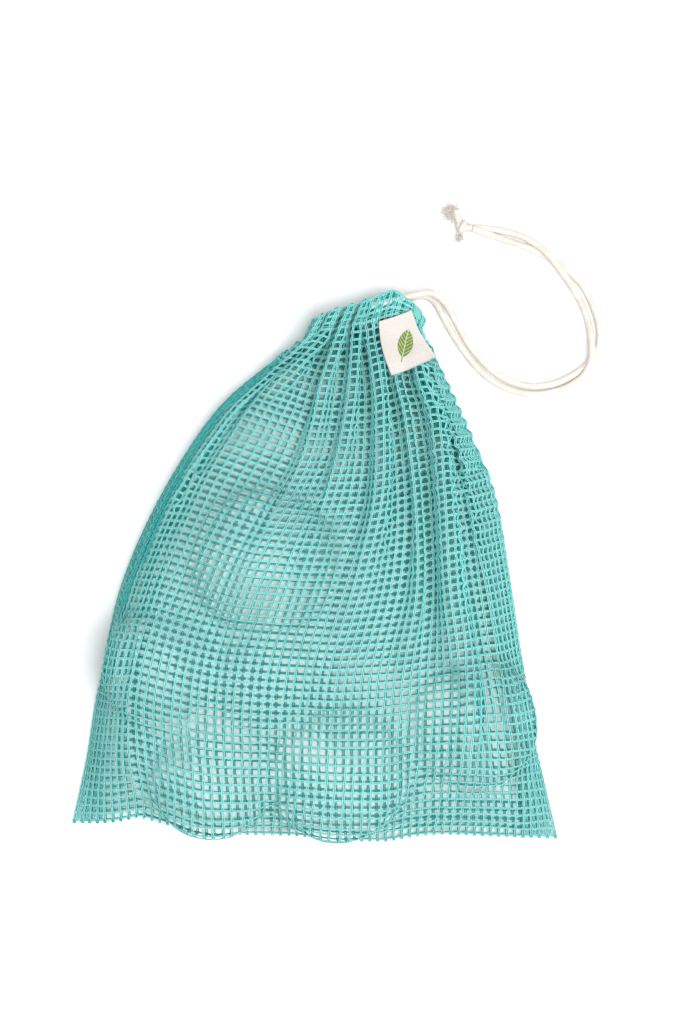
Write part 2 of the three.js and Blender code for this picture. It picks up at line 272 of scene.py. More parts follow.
def leaf_factor(tree, place):
    """1 inside a plain leaf with a midrib and side veins, 0 outside. place is in millimetres."""
    c, t = math.cos(LEAF_TURN), math.sin(LEAF_TURN)

    def add(a, b):
        return math_node(tree, "ADD", a, b)

    def subtract(a, b):
        return math_node(tree, "SUBTRACT", a, b)

    def times(a, b):
        return math_node(tree, "MULTIPLY", a, b)

    def below(a, b):
        return math_node(tree, "LESS_THAN", a, b)

    split = tree.nodes.new("ShaderNodeSeparateXYZ")
    tree.links.new(place, split.inputs[0])
    x = subtract(split.outputs[0], LEAF_MIDDLE[0])
    y = subtract(split.outputs[1], LEAF_MIDDLE[1])
    along = add(times(x, c), times(y, t))
    across = subtract(times(y, c), times(x, t))
    aside = math_node(tree, "ABSOLUTE", across)
    out = add(aside, LEAF_OFFSET)
    reach = math_node(tree, "SQRT", add(times(out, out), times(along, along)))
    inside = below(reach, LEAF_RADIUS)
    from_stalk = math_node(tree, "ABSOLUTE", add(along, STALK_MIDDLE))
    stalk = times(below(from_stalk, STALK_HALF_LENGTH), below(aside, STALK_HALF_WIDTH))
    slanted = subtract(along, times(aside, VEIN_SLANT))
    step = math_node(tree, "FLOORED_MODULO", slanted, VEIN_GAP)
    vein = math_node(tree, "MAXIMUM", below(aside, LEAF_VEIN), below(step, SIDE_VEIN * LEAF_VEIN))
    blade = times(inside, subtract(1.0, vein))
    return math_node(tree, "MAXIMUM", blade, stalk)


LABEL_ROUGHNESS, LABEL_SHEEN = 0.9, 0.2
THREAD_SCALE, SLUB_SCALE = 0.62, 0.9
THREAD_SHARE, SLUB_SHARE = 0.5, 0.7
CREAM_LOW, CREAM_HIGH = (0.58, 0.54, 0.49), (0.83, 0.79, 0.75)
GREEN_LOW, GREEN_HIGH = (0.10, 0.20, 0.01), (0.22, 0.34, 0.03)
WORN_BELOW = 0.28  # the cloth's shade where its ink has worn off
LABEL_RELIEF, LABEL_RELIEF_DEPTH = 0.5, 0.12 * MM


def label_material():
    """Closely woven cream cotton, with a plain green leaf printed on it. UV is in millimetres."""
    material, tree, shader = new_material("label_cotton", LABEL_ROUGHNESS, LABEL_SHEEN)
    place = uv_place(tree)
    threads = []
    for direction in ("X", "Y"):
        wave = add_node(tree, "ShaderNodeTexWave", bands_direction=direction, Scale=THREAD_SCALE,
                        Distortion=0.5)
        tree.links.new(place, wave.inputs["Vector"])
        threads.append(wave.outputs["Fac"])
    cloth = math_node(tree, "MULTIPLY", *threads)
    slub = add_node(tree, "ShaderNodeTexNoise", Scale=SLUB_SCALE, Detail=5.0)
    tree.links.new(place, slub.inputs["Vector"])
    shade = math_node(tree, "ADD", math_node(tree, "MULTIPLY", cloth, THREAD_SHARE),
                      math_node(tree, "MULTIPLY", slub.outputs["Fac"], SLUB_SHARE))
    cream = mix_colours(tree, shade, CREAM_LOW, CREAM_HIGH)
    worn = math_node(tree, "GREATER_THAN", shade, WORN_BELOW)
    green = mix_colours(tree, shade, GREEN_LOW, GREEN_HIGH)
    ink = math_node(tree, "MULTIPLY", leaf_factor(tree, place), worn)
    tree.links.new(mix_colours(tree, ink, cream, green), shader.inputs["Base Color"])
    bump(tree, shader, cloth, LABEL_RELIEF, LABEL_RELIEF_DEPTH)
    return material


# ---- Tubes ----

def unit(v):
    return v / (np.linalg.norm(v, axis=-1, keepdims=True) + TINY)


def refine(lines, steps):
    """Catmull-Rom points through each line of points, steps to a stretch. lines is (..., n, k)."""
    before = np.concatenate([2 * lines[..., :1, :] - lines[..., 1:2, :], lines[..., :-2, :]], -2)
    after = np.concatenate([lines[..., 2:, :], 2 * lines[..., -1:, :] - lines[..., -2:-1, :]], -2)
    start, end = lines[..., :-1, :], lines[..., 1:, :]
    out = []
    for t in np.arange(steps) / steps:
        out.append(0.5 * (2 * start + (end - before) * t
                          + (2 * before - 5 * start + 4 * end - after) * t * t
                          + (3 * start - before - 3 * end + after) * t ** 3))
    fine = np.stack(out, -2).reshape(*lines.shape[:-2], -1, lines.shape[-1])
    return np.concatenate([fine, lines[..., -1:, :]], -2)


def mesh_object(name, points, quads, caps, uv, material):
    """A mesh of quads and of end caps with any number of sides. Points are in millimetres."""
    mesh = bpy.data.meshes.new(name)
    mesh.vertices.add(len(points))
    mesh.vertices.foreach_set("co", (points * MM).astype(np.float32).ravel())
    corners = np.concatenate([quads.ravel(), caps.ravel()]).astype(np.int32)
    starts = np.concatenate([np.arange(len(quads)) * 4,
                             quads.size + np.arange(len(caps)) * caps.shape[1]])
    mesh.loops.add(len(corners))
    mesh.loops.foreach_set("vertex_index", corners)
    mesh.polygons.add(len(starts))
    mesh.polygons.foreach_set("loop_start", starts.astype(np.int32))
    mesh.update(calc_edges=True)
    layer = mesh.uv_layers.new(name="yarn")
    layer.data.foreach_set("uv", uv.astype(np.float32).ravel())
    mesh.shade_smooth()
    mesh.materials.append(material)
    obj = bpy.data.objects.new(name, mesh)
    bpy.context.collection.objects.link(obj)
    return obj


def tube_parts(lines, ups, radius, sides, relief=None):
    """Closed tubes along lines (m, n, 3), each ring turned to face ups. Returns points and faces."""
    m, n = lines.shape[:2]
    along = unit(np.gradient(lines, axis=1))
    up = unit(ups - (ups * along).sum(-1, keepdims=True) * along)
    side = np.cross(along, up)
    angle = 2 * np.pi * np.arange(sides) / sides
    length = np.cumsum(np.linalg.norm(np.diff(lines, axis=1, prepend=lines[:, :1]), axis=-1), 1)
    reach = np.broadcast_to(np.asarray(radius, float), (m, n))[..., None]
    if relief is not None:
        reach = reach * relief(length[..., None], angle)
    else:
        reach = np.repeat(reach, sides, -1)
    ring = reach[..., None] * (np.cos(angle)[:, None] * up[:, :, None]
                               + np.sin(angle)[:, None] * side[:, :, None])
    points = (lines[:, :, None] + ring).reshape(-1, 3)
    index = np.arange(m * n * sides).reshape(m, n, sides)
    turned = np.roll(index, -1, 2)
    quads = np.stack([index[:, :-1], turned[:, :-1], turned[:, 1:], index[:, 1:]], -1).reshape(-1, 4)
    caps = np.concatenate([index[:, 0, ::-1], index[:, -1]])
    around = np.arange(sides + 1) / sides
    low_u, high_u = (np.repeat(part[..., None], sides, -1) for part in (length[:, :-1], length[:, 1:]))
    low_v = np.broadcast_to(around[:-1], low_u.shape)
    high_v = np.broadcast_to(around[1:], low_u.shape)
    quad_uv = np.stack([np.stack([low_u, low_v], -1), np.stack([low_u, high_v], -1),
                        np.stack([high_u, high_v], -1), np.stack([high_u, low_v], -1)], -2).reshape(-1, 2)
    return points, quads, caps, quad_uv


def tubes(name, bundles, sides, material, relief=None):
    """One mesh of closed tubes. Each bundle is (lines, ups, radius)."""
    points, quads, caps, uvs, count = [], [], [], [], 0
    for lines, ups, radius in bundles:
        p, q, c, uv = tube_parts(lines, ups, radius, sides, relief)
        points.append(p)
        quads.append(q + count)
        caps.append(c + count)
        uvs.append(uv)
        count += len(p)
    caps = np.concatenate(caps)
    uvs.append(np.zeros((caps.size, 2)))
    return mesh_object(name, np.concatenate(points), np.concatenate(quads), caps, np.concatenate(uvs),
                       material)


# ---- The drawstring ----

# The two free strands, as in the CAD model. Both leave the casing side by side, and cross twice.
STRAND_A = [(57, 140.9, 12.4), (61.8, 140.6, 9), (66, 138, 5.6), (69.6, 133.6, 2.9),
            (73, 127.6, 1.9), (77, 120.2, 1.9), (81.6, 113, 1.9), (87.2, 106.2, 1.9),
            (94, 100.2, 1.9), (102.4, 95.6, 1.9), (112.8, 93.3, 1.9), (123.6, 94.6, 1.9),
            (133.4, 98.8, 1.9), (141, 104.2, 1.9), (145.8, 110, 1.9), (148, 116.8, 1.9),
            (147.6, 124.6, 1.9), (145.4, 132.6, 1.9), (141.8, 141, 1.9), (136.6, 148.6, 1.9),
            (129.4, 155, 1.9), (121.4, 160, 1.9), (113, 164.1, 1.9), (105, 167.2, 1.9),
            (97.6, 169.6, 2.2), (91.6, 171.4, 3.9), (86.6, 173.2, 5.4), (81.6, 174.8, 5.9)]
STRAND_B = [(55.4, 140.2, 2.3), (59, 139.5, 1.9), (62.4, 136.9, 1.9), (65.2, 132.4, 1.9),
            (68.6, 125.6, 1.9), (73.2, 118, 1.9), (78, 110.8, 1.9), (83.8, 103.6, 1.9),
            (91, 97, 1.9), (100.6, 91.8, 1.9), (113, 89.2, 1.9), (125.2, 90.8, 1.9),
            (134.6, 95, 2.5), (140.6, 100.6, 4.9), (143.2, 107, 6), (143.6, 114, 5),
            (143, 121.4, 2.9), (141, 129.8, 1.9), (137.4, 138.4, 2.2), (133, 145.6, 4.2),
            (127.8, 152.8, 5.9), (122.2, 160, 6), (116, 166, 4.5), (109.2, 170.4, 2.5),
            (102, 172.9, 1.9), (94.6, 174.6, 1.9), (88, 175.4, 1.9), (81.8, 175.6, 1.9)]
TAIL = [(75.4, 177.6, 3.2), (74.6, 179.8, 3.1), (74, 182, 2.9), (73.7, 184.6, 2.7)]
MOUTH = (28, 131.2)
MOUTH_TILT = math.radians(14)
TUNNEL_OFFSET = 2.5
HEIGHT_A, HEIGHT_B = 14.3, 2.7
KNOT_PLACE = np.array([76.4, 176.1, 3.7])
BRAID_STRANDS = 4  # in each of the two sets
BRAID_PITCH = 4.2
BRAID_LOW, BRAID_RISE = 0.985, 0.035  # shares of the cord's radius
UP = np.array([0.0, 0.0, 1.0])


def at_mouth(across, out, up):
    c, s = math.cos(MOUTH_TILT), math.sin(MOUTH_TILT)
    return (MOUTH[0] + across * c - out * s, MOUTH[1] + across * s + out * c, up)


def strand_path(height, route):
    inside = [at_mouth(across, TUNNEL_OFFSET, height) for across in (0, 7, 14, 20, 25)]
    return np.array(inside + route, float)


def braid(length, angle):
    """Radius of a soft tubular braid: two sets of strands that cross."""
    turn = BRAID_STRANDS * angle
    pitch = 2 * math.pi * length / BRAID_PITCH
    return BRAID_LOW + BRAID_RISE * np.maximum(np.cos(turn + pitch), np.cos(turn - pitch))


CURVE_STEPS = 24  # to a stretch, before a curve is divided evenly


def evenly(points, gap):
    """Points about gap apart along the curve through points."""
    fine = refine(points[None], CURVE_STEPS)[0]
    length = np.concatenate([[0], np.cumsum(np.linalg.norm(np.diff(fine, axis=0), axis=-1))])
    share = np.linspace(0, length[-1], int(length[-1] / gap) + 1)
    return np.stack([np.interp(share, length, fine[:, k]) for k in range(3)], -1)


CORD_STEP, CORD_SIDES = 0.45, 24


def make_cord(name, route, material):
    line = evenly(route, CORD_STEP)
    up = np.broadcast_to(UP, line.shape)
    return tubes(name, [(line[None], up[None], CORD / 2)], CORD_SIDES, material, braid), line


def make_strands(material):
    for name, node, height, route in (("drawstring_a", "drawstring_strand_a", HEIGHT_A, STRAND_A),
                                      ("drawstring_b", "drawstring_strand_b", HEIGHT_B, STRAND_B)):
        obj, line = make_cord(name, strand_path(height, route), material)
        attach(obj, "drawstring")
        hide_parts(node)


# ---- The net: its drape ----

BOTH = slice(None)
SHIFTS = {0: (BOTH, BOTH), 1: (slice(0, -1), slice(1, None)), -1: (slice(1, None), slice(0, -1))}


def pair_groups(down, across):
    """Groups of node pairs that lie down rows and across columns apart. No node is twice in a group."""
    if down:
        return [((BOTH, slice(p, ROWS - down, 2 * down), SHIFTS[across][0]),
                 (BOTH, slice(p + down, ROWS, 2 * down), SHIFTS[across][1])) for p in range(2 * down)]
    return [((BOTH, BOTH, slice(p, COLUMNS - across, 2 * across)),
             (BOTH, BOTH, slice(p + across, COLUMNS, 2 * across))) for p in range(2 * across)]


def hold(nodes, free, groups, rest, share):
    """Moves each pair of nodes towards its rest distance."""
    for first, second in groups:
        gap = nodes[second] - nodes[first]
        length = np.sqrt((gap * gap).sum(-1)) + TINY
        pull = share * (length - rest) / (length * (free[first] + free[second] + TINY))
        nodes[first] += (free[first] * pull)[..., None] * gap
        nodes[second] -= (free[second] * pull)[..., None] * gap


def along_line(line, share):
    """The point of a plan line at a share of its length. line is a list of (x, y)."""
    p = evenly(np.array([(*q, 0.0) for q in line], float), 0.5)[:, :2]
    length = np.concatenate([[0], np.cumsum(np.linalg.norm(np.diff(p, axis=0), axis=-1))])
    at = np.asarray(share) * length[-1]
    return np.stack([np.interp(at, length, p[:, k]) for k in range(2)], -1)


def belly(x, y):
    """How high the front net is held between its bulges."""
    place, height = np.array(BELLY, float).T
    left, right = np.array(RIDGES[0][1], float), np.array(RIDGES[-1][1], float)
    inside = np.minimum(x - np.interp(y, left[:, 1], left[:, 0]),
                        np.interp(y, right[:, 1], right[:, 0]) - x)
    roll = np.clip(inside / BELLY_ROLL, 0, 1)
    return np.interp(y, place, height) * roll * (2 - roll)


def filled(x, y):
    """The height of the belly or of the bulge at a place."""
    height = belly(x, y)
    for middle_x, middle_y, radius, top in FILLING:
        away = np.clip(np.hypot(x - middle_x, y - middle_y) / (radius + 1), 0, 1)
        height = np.maximum(height, top / 2 * (1 + np.sqrt(1 - away ** 2)) * (away < 1) + 2)
    return height


# The steepest slope of a winding line, against how far it gets for its length.
WINDING = np.linspace(0, 2.35, 60)
WINDING_REACH = np.array([np.cos(a * np.sin(np.pi * np.linspace(0, 1, 41))).mean() for a in WINDING])
WINDING_STEPS = 80  # in half a fold


def winding(columns, reach):
    """Shares of plan distance and of height of each column of half a fold, and the fold's height."""
    steepest = np.interp(-reach / (columns * CELL_ACROSS), -WINDING_REACH, WINDING)
    slope = steepest * np.sin(np.pi * np.linspace(0, 1, WINDING_STEPS + 1))
    onward = np.concatenate([[0], np.cumsum(np.cos((slope[1:] + slope[:-1]) / 2))])
    upward = np.concatenate([[0], np.cumsum(np.sin((slope[1:] + slope[:-1]) / 2))])
    height = upward[-1] / WINDING_STEPS * columns * CELL_ACROSS
    return onward / onward[-1], upward / max(upward[-1], TINY), height


def folded_row(guides, columns_at, height_at, tallness):
    """One row of nodes: straight from guide to guide in plan, winding up and down by spare cloth."""
    halves, rises = [], []
    for c0, c1, start, end in zip(columns_at, columns_at[1:], guides, guides[1:]):
        share = np.linspace(0, 1, 9)[:, None]
        line = start * (1 - share) + end * share
        line = np.concatenate([line, height_at(line[:, 0], line[:, 1])[:, None]], -1)
        reach = np.linalg.norm(np.diff(line, axis=0), axis=-1).sum()
        halves.append(winding(c1 - c0, min(reach, (c1 - c0) * CELL_ACROSS)))
        rises.append(halves[-1][2])
    crest = [0.0] + [(a + b) / 2 for a, b in zip(rises, rises[1:])] + [0.0]
    points = np.zeros((COLUMNS, 3))
    flat = [FLAT_COLUMNS[0] < column < FLAT_COLUMNS[1] for column in columns_at]
    low = max(0, (tallness - PLEAT) / (1 - PLEAT))
    crest = [(k % 2) * rise * (low if flat[k] else tallness) for k, rise in enumerate(crest)]
    for k, (c0, c1) in enumerate(zip(columns_at, columns_at[1:])):
        columns = np.arange(math.ceil(c0), math.floor(c1) + 1)
        at = (columns - c0) / (c1 - c0) * WINDING_STEPS
        onward, upward, _ = halves[k]
        steps = np.arange(WINDING_STEPS + 1)
        go, climb = np.interp(at, steps, onward)[:, None], np.interp(at, steps, upward)
        points[columns, :2] = guides[k] * (1 - go) + guides[k + 1] * go
        points[columns, 2] = crest[k] * (1 - climb) + crest[k + 1] * climb
    points[:, 2] += height_at(points[:, 0], points[:, 1])
    return points


CORD_COVER = 16.4  # height of the net where it passes over the drawn-up cord
BACK_HEIGHT = 1.2
BACK_BELOW = 3.5  # how far the back stays under the front
NET_REST = 0.9  # height of a node whose yarns rest on the floor
PLEAT = 0.5  # how much of its natural height a fold keeps in the casing
FLAT_COLUMNS = (29, 56)  # no pleats between these, under the label
GATHER_ROWS = 6  # rows over which the net rises to the casing
BACK_COLUMN_SHIFT, BACK_ROW_SHIFT = 2.3, 1.6  # the back's yarns don't lie under the front's


def guide_lines(rows):
    """Columns of all ridges and troughs, and their plan points for each row. Ridges have odd places."""
    ridges = []
    for column, line in RIDGES:
        lead = RIGHT_LEAD * max(0, column - LEAD_START) / (COLUMNS - 1 - LEAD_START)
        ridges.append(along_line(line, rows + lead * np.sin(np.pi * rows) ** 2))
    deep = np.clip((rows - FOLD_START) / (FOLD_FULL - FOLD_START), 0, 1)
    deep = (deep * deep * (3 - 2 * deep))[:, None]
    columns, lines = [RIDGES[0][0], RIDGES[1][0]], [ridges[0], ridges[1]]
    stretches = zip(RIDGES[1:], RIDGES[2:-1], ridges[1:], ridges[2:], TROUGHS)
    for (c0, _), (c1, _), low, high, (column, place) in stretches:
        share = place * deep + (column - c0) / (c1 - c0) * (1 - deep)
        columns += [column, c1]
        lines += [low * (1 - share) + high * share, high]
    return np.array(columns + [RIDGES[-1][0]], float), np.stack(lines + [ridges[-1]], 1)


def front_height(gather):
    """The height that the front's folds stand on, where the net has risen by gather to the casing."""
    return lambda x, y: np.maximum(filled(x, y), CORD_COVER * gather)


def back_height(x, _):
    return np.full(np.shape(x), BACK_HEIGHT)


def first_shape():
    """The net before it settles: folded along its guides, over its filling in front, flat behind."""
    nodes = np.zeros((2, ROWS, COLUMNS, 3))
    share = np.arange(HEM_ROW + 1) / HEM_ROW
    slid = np.minimum(share + BACK_ROW_SHIFT / HEM_ROW * np.sin(np.pi * share) * (1 + share), 1)
    for side, rows in enumerate((share, slid)):
        at, guides = guide_lines(rows)
        at[1:-1] += side * BACK_COLUMN_SHIFT
        guides += (along_line(FOLD, at / (COLUMNS - 1)) - guides[0]) * ((1 - rows) ** 4)[:, None, None]
        hem = guides[-1]
        across = np.concatenate([[0], np.cumsum(np.linalg.norm(np.diff(hem, axis=0), axis=-1))])
        top = along_line(CASING_TOP, across / across[-1])
        for row in range(ROWS):
            t = max(0, row - HEM_ROW) / CASING_ROWS
            gather = min(1, max(0, row - HEM_ROW + GATHER_ROWS) / GATHER_ROWS)
            line = guides[min(row, HEM_ROW)] * (1 - t) + top * t
            if side:
                base, tall = back_height, 1
            else:
                base, tall = front_height(gather), 1 - gather * (1 - PLEAT)
            nodes[side, row] = folded_row(line, at, base, tall)
    lid = np.maximum(nodes[0, ..., 2] - BACK_BELOW, NET_REST)
    nodes[1, ..., 2] = np.minimum(nodes[1, ..., 2], lid)
    edges = [along_line(line, share) for line in (RIDGES[0][1], RIDGES[-1][1])]
    return nodes, *edges, along_line(FOLD, np.arange(COLUMNS) / (COLUMNS - 1))


def push_out(nodes, loose):
    """Keeps the net outside what fills it."""
    for x, y, radius, height in FILLING:
        middle = np.array([x, y, height / 2 + 1.5])
        reach = np.array([radius, radius, height / 2]) + 1.0
        away = (nodes - middle) / reach
        depth = np.sqrt((away * away).sum(-1))
        inside = (depth < 1) & loose
        nodes[inside] = middle + away[inside] / depth[inside][:, None] * reach


def couple(nodes):
    """The two sides share the seam columns and the row on the bottom fold."""
    for place in ((BOTH, 0), (BOTH, COLUMNS - 1), (0,)):
        middle = (nodes[0][place] + nodes[1][place]) / 2
        nodes[0][place] = middle
        nodes[1][place] = middle


def part_sides(nodes, loose):
    """Keeps the front above the back, apart from where they are joined."""
    gap = nodes[0, ..., 2] - nodes[1, ..., 2]
    tight = (gap < LAYER) & loose[0]
    tight[0] = tight[:, 0] = tight[:, -1] = False
    nodes[0, ..., 2] += np.where(tight, (LAYER - gap) / 2, 0)
    nodes[1, ..., 2] -= np.where(tight, (LAYER - gap) / 2, 0)


STEPS, ROUNDS = 10, 6
STEP_TIME = 1 / 60
WEIGHT = -400.0
AIR = 0.97  # share of its motion that a node keeps in a step
TOP_SPEED = 600
LAYER = 1.3  # least height between front and back
SLANT_HOLD, WARP_BEND, WEFT_BEND = 0.08, 0.2, 0.03
EDGE_HOLD, FOLD_HOLD = 0.12, 0.08  # how firmly the outline is kept
LIKENESS = 0.2  # how firmly a node is kept at its first place
GRIP_HEIGHT, GRIP = 1.2, 0.5  # the floor slows nodes below this height


def drape():
    nodes, left, right, fold = first_shape()
    shape = nodes.copy()
    free = np.ones(nodes.shape[:3])
    free[:, HEM_ROW:] = 0
    loose = free > 0
    pinned = nodes[:, HEM_ROW:].copy()
    motion = np.zeros_like(nodes)
    across, along = pair_groups(0, 1), pair_groups(1, 0)
    slants = pair_groups(1, 1) + pair_groups(1, -1)
    two_across, two_along = pair_groups(0, 2), pair_groups(2, 0)
    slant = math.hypot(CELL_ACROSS, CELL_ALONG)
    body = nodes[0, :HEM_ROW]
    for _ in range(STEPS):
        before = nodes.copy()
        motion *= AIR
        motion[..., 2] += STEP_TIME * WEIGHT * free
        speed = np.linalg.norm(motion, axis=-1, keepdims=True)
        nodes += STEP_TIME * motion * np.minimum(1, TOP_SPEED / (speed + TINY))
        for count in range(ROUNDS):
            hold(nodes, free, across, CELL_ACROSS, 1)
            hold(nodes, free, along, CELL_ALONG, 1)
            hold(nodes, free, slants, slant, SLANT_HOLD)
            if count % 2:
                hold(nodes, free, two_across, 2 * CELL_ACROSS, WEFT_BEND)
                hold(nodes, free, two_along, 2 * CELL_ALONG, WARP_BEND)
            couple(nodes)
            push_out(nodes, loose)
            np.maximum(body[..., 2], belly(body[..., 0], body[..., 1]), out=body[..., 2])
            part_sides(nodes, loose)
            np.maximum(nodes[..., 2], NET_REST, out=nodes[..., 2])
            for net in nodes:
                net[:HEM_ROW, 0, :2] += EDGE_HOLD * (left[:HEM_ROW] - net[:HEM_ROW, 0, :2])
                net[:HEM_ROW, -1, :2] += EDGE_HOLD * (right[:HEM_ROW] - net[:HEM_ROW, -1, :2])
                net[0, :, :2] += FOLD_HOLD * (fold - net[0, :, :2])
            nodes += LIKENESS * (shape - nodes)
            nodes[:, HEM_ROW:] = pinned
        motion = (nodes - before) / STEP_TIME
        motion[nodes[..., 2] < GRIP_HEIGHT] *= GRIP
    return nodes


# ---- The net: its yarns ----

CUTS = (0, 20, 40, 60)  # columns where a side is divided into strips, to keep each mesh small
SUBSTEPS = 3
YARN_SIDES, HIDDEN_SIDES = 5, 4
LINING_DEPTH = 1.5  # the casing's inner layer, below its outer one
STRAND_RADIUS = 0.28
WARP_LIFT, WARP_SPREAD, WARP_OPEN = 0.3, 0.44, 0.14
WEFT_LIFT, WEFT_SPREAD, WEFT_RADIUS = 0.24, 0.33, 0.27


def side_normals(grid, side):
    """Outward normals of a grid that runs left to right and bottom to top."""
    normals = unit(np.cross(np.gradient(grid, axis=1), np.gradient(grid, axis=0)))
    return normals if side == 0 else -normals


def paired(line, ups, lift, spread, opening):
    """The two strands of each yarn. They part and rise, or dip, where they cross the other yarns."""
    fine = refine(line, SUBSTEPS)
    ups = unit(refine(ups, SUBSTEPS))
    aside = np.cross(unit(np.gradient(fine, axis=1)), ups)
    wave = np.cos(2 * np.pi * np.arange(fine.shape[1]) / SUBSTEPS)[None, :, None]
    return [(fine + lift * wave * ups + sign * (spread + opening * wave) * aside, ups)
            for sign in (-1, 1)]


def weave(grid, normals, last_column=True):
    """Bundles of tubes for a piece of net: its warp pairs along, its weft pairs across."""
    columns = slice(None) if last_column else slice(0, -1)
    warp = paired(np.swapaxes(grid, 0, 1)[columns], np.swapaxes(normals, 0, 1)[columns],
                  WARP_LIFT, WARP_SPREAD, WARP_OPEN)
    weft = paired(grid, normals, -WEFT_LIFT, WEFT_SPREAD, 0.0)
    return ([(line, ups, STRAND_RADIUS) for line, ups in warp]
            + [(line, ups, WEFT_RADIUS) for line, ups in weft])


LOOP_ASIDE = 0.4
LOOP_ROOT, LOOP_SHOULDER, LOOP_TIP = (0.4, -0.4), (0.75, 0.6), (0.0, 1.5)  # how far up and out


def fold_loops(front, back, front_normals, back_normals):
    """Where the warp turns round the bottom fold, each strand makes a small loop that sticks out."""
    place, outward = front[0], unit(2 * front[0] - front[1] - back[1])
    aside = unit(np.cross(outward, front_normals[0]))
    bundles = []
    for sign in (-1, 1):
        arc = [place + rise * normals[0] + out * outward + sign * LOOP_ASIDE * aside
               for (rise, out), normals in ((LOOP_ROOT, front_normals), (LOOP_SHOULDER, front_normals),
                                            (LOOP_TIP, front_normals), (LOOP_SHOULDER, back_normals),
                                            (LOOP_ROOT, back_normals))]
        line = refine(np.stack(arc, 1), 2)
        bundles.append((line, np.broadcast_to(aside[:, None], line.shape), STRAND_RADIUS))
    return bundles


def as_net(piece, *nodes):
    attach(piece, "bag")
    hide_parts(*nodes)
    return piece


def make_net(nodes, material):
    grids = [nodes[0], nodes[1]]
    normals = [side_normals(grid, side) for side, grid in enumerate(grids)]
    for side, label in ((0, "front"), (1, "back")):
        for i, (first, last) in enumerate(zip(CUTS, CUTS[1:])):
            strip = slice(first, last + 1)
            bundles = weave(grids[side][:, strip], normals[side][:, strip], last == COLUMNS - 1)
            strands = tubes(f"net_{label}_{i + 1}", bundles, YARN_SIDES, material)
            piece = as_net(strands, f"net_{label}")
        rows = slice(HEM_ROW, ROWS)
        inner = grids[side][rows] - LINING_DEPTH * normals[side][rows]
        inner = (inner[:, 1:] + inner[:, :-1]) / 2
        lining = weave(inner, -(normals[side][rows, 1:] + normals[side][rows, :-1]) / 2)
        as_net(tubes(f"lining_{label}", lining, YARN_SIDES, material), f"casing_{label}")
    loops = fold_loops(grids[0], grids[1], normals[0], normals[1])
    as_net(tubes("fold_loops", loops, YARN_SIDES, material), "net_front")


# Each layer's share of the way up from back to front, and its shift in cells.
SEAM_LAYERS = ((0.68, 0.5), (0.34, 0.35))


def seam_layers(nodes, left):
    """The spare cloth of a side seam: two layers of net between front and back."""
    columns = slice(0, SEAM_CELLS + 2) if left else slice(-SEAM_CELLS - 2, None)
    front, back = nodes[0][:HEM_ROW, columns], nodes[1][:HEM_ROW, columns]
    bundles = []
    for share, shift in SEAM_LAYERS:
        middle = front * share + back * (1 - share)
        grid = middle[:, 1:] * shift + middle[:, :-1] * (1 - shift)
        bundles += weave(grid, side_normals(grid, 0))
    return bundles


OVERLOCK_MARGIN = 2  # rows without stitches at both ends of a seam
STITCH_LIFT, STITCH_DIP = 0.55, 0.2


def make_seams(nodes, net, thread):
    for left, label in ((True, "left"), (False, "right")):
        layers = tubes(f"seam_layers_{label}", seam_layers(nodes, left), HIDDEN_SIDES, net)
        as_net(layers, f"seam_cloth_{label}")
        edge = 0 if left else COLUMNS - 1
        inward = 1 if left else -1
        rows = np.arange(OVERLOCK_MARGIN, HEM_ROW - OVERLOCK_MARGIN)
        near, far = (net_side[rows, edge + inward * SEAM_CELLS] for net_side in nodes)
        zigzag = np.empty((2 * len(rows), 3))
        zigzag[0::2] = near * 0.75 + far * 0.25
        zigzag[1::2] = near * 0.25 + far * 0.75
        line = refine(zigzag[None], 3)
        up = np.broadcast_to([1.0, 0.0, 0.0], line.shape)
        stitch = running_stitch(nodes[0][rows, edge + inward] * 0.6 + nodes[0][rows, edge] * 0.4)
        piece = tubes(f"overlock_{label}", [(line, up, THREAD / 2), stitch], YARN_SIDES, thread)
        as_net(piece, f"seam_thread_{label}")


THREAD_STEPS = 4  # to a stitch
HEM_LIFT, HEM_DIP = 0.9, 0.1


def running_stitch(line):
    """A thread that goes over and under a line of points."""
    wave = np.where(np.arange(len(line)) % 2, STITCH_LIFT, -STITCH_DIP)[:, None] * UP
    fine = refine((line + wave)[None], THREAD_STEPS)
    return fine, np.broadcast_to(UP, fine.shape), THREAD / 2


def make_hem_stitches(nodes, thread):
    bundles = []
    for side in (0, 1):
        normals = side_normals(nodes[side], side)
        row = nodes[side][HEM_ROW] * 0.5 + nodes[side][HEM_ROW + 1] * 0.5
        lift = np.where(np.arange(COLUMNS) % 2, HEM_LIFT, HEM_DIP)[:, None]
        line = refine((row + lift * normals[HEM_ROW])[None], THREAD_STEPS)
        bundles.append((line, np.broadcast_to(UP, line.shape), THREAD / 2))
    as_net(tubes("hem_stitches", bundles, YARN_SIDES, thread), "casing_thread")


# ---- The label ----

LABEL_TOP = ((33.0, 125.8), (41.6, 128.4), (49.8, 131.6))
LABEL_BOTTOM = ((39.3, 97.6), (51.2, 102.0), (62.2, 107.5))
LABEL_HINGE = 19.05  # height of its sewn edge
LABEL_BOW = 1.6  # how far both sides lean to the left in the middle of their length
LABEL_THICK = 0.5
LABEL_SIZE = (26.0, 31.0)
LABEL_ACROSS, LABEL_ALONG = 36, 40  # faces
COARSE_ACROSS, COARSE_ALONG = 6, 8  # faces between the places where the net's height is taken
LABEL_LIFT = 1.8  # of the label above the net
LABEL_SMOOTHING = 2
NET_REACH = 4.5  # the net's height at a place is its highest within this distance
FLOOR_NET = 2.0  # the height where there is no net


def bowed(points, share):
    (x0, y0), (x1, y1), (x2, y2) = points
    a, b, c = 2 * (share - 0.5) * (share - 1), 4 * share * (1 - share), 2 * share * (share - 0.5)
    return np.array([x0 * a + x1 * b + x2 * c, y0 * a + y1 * b + y2 * c])


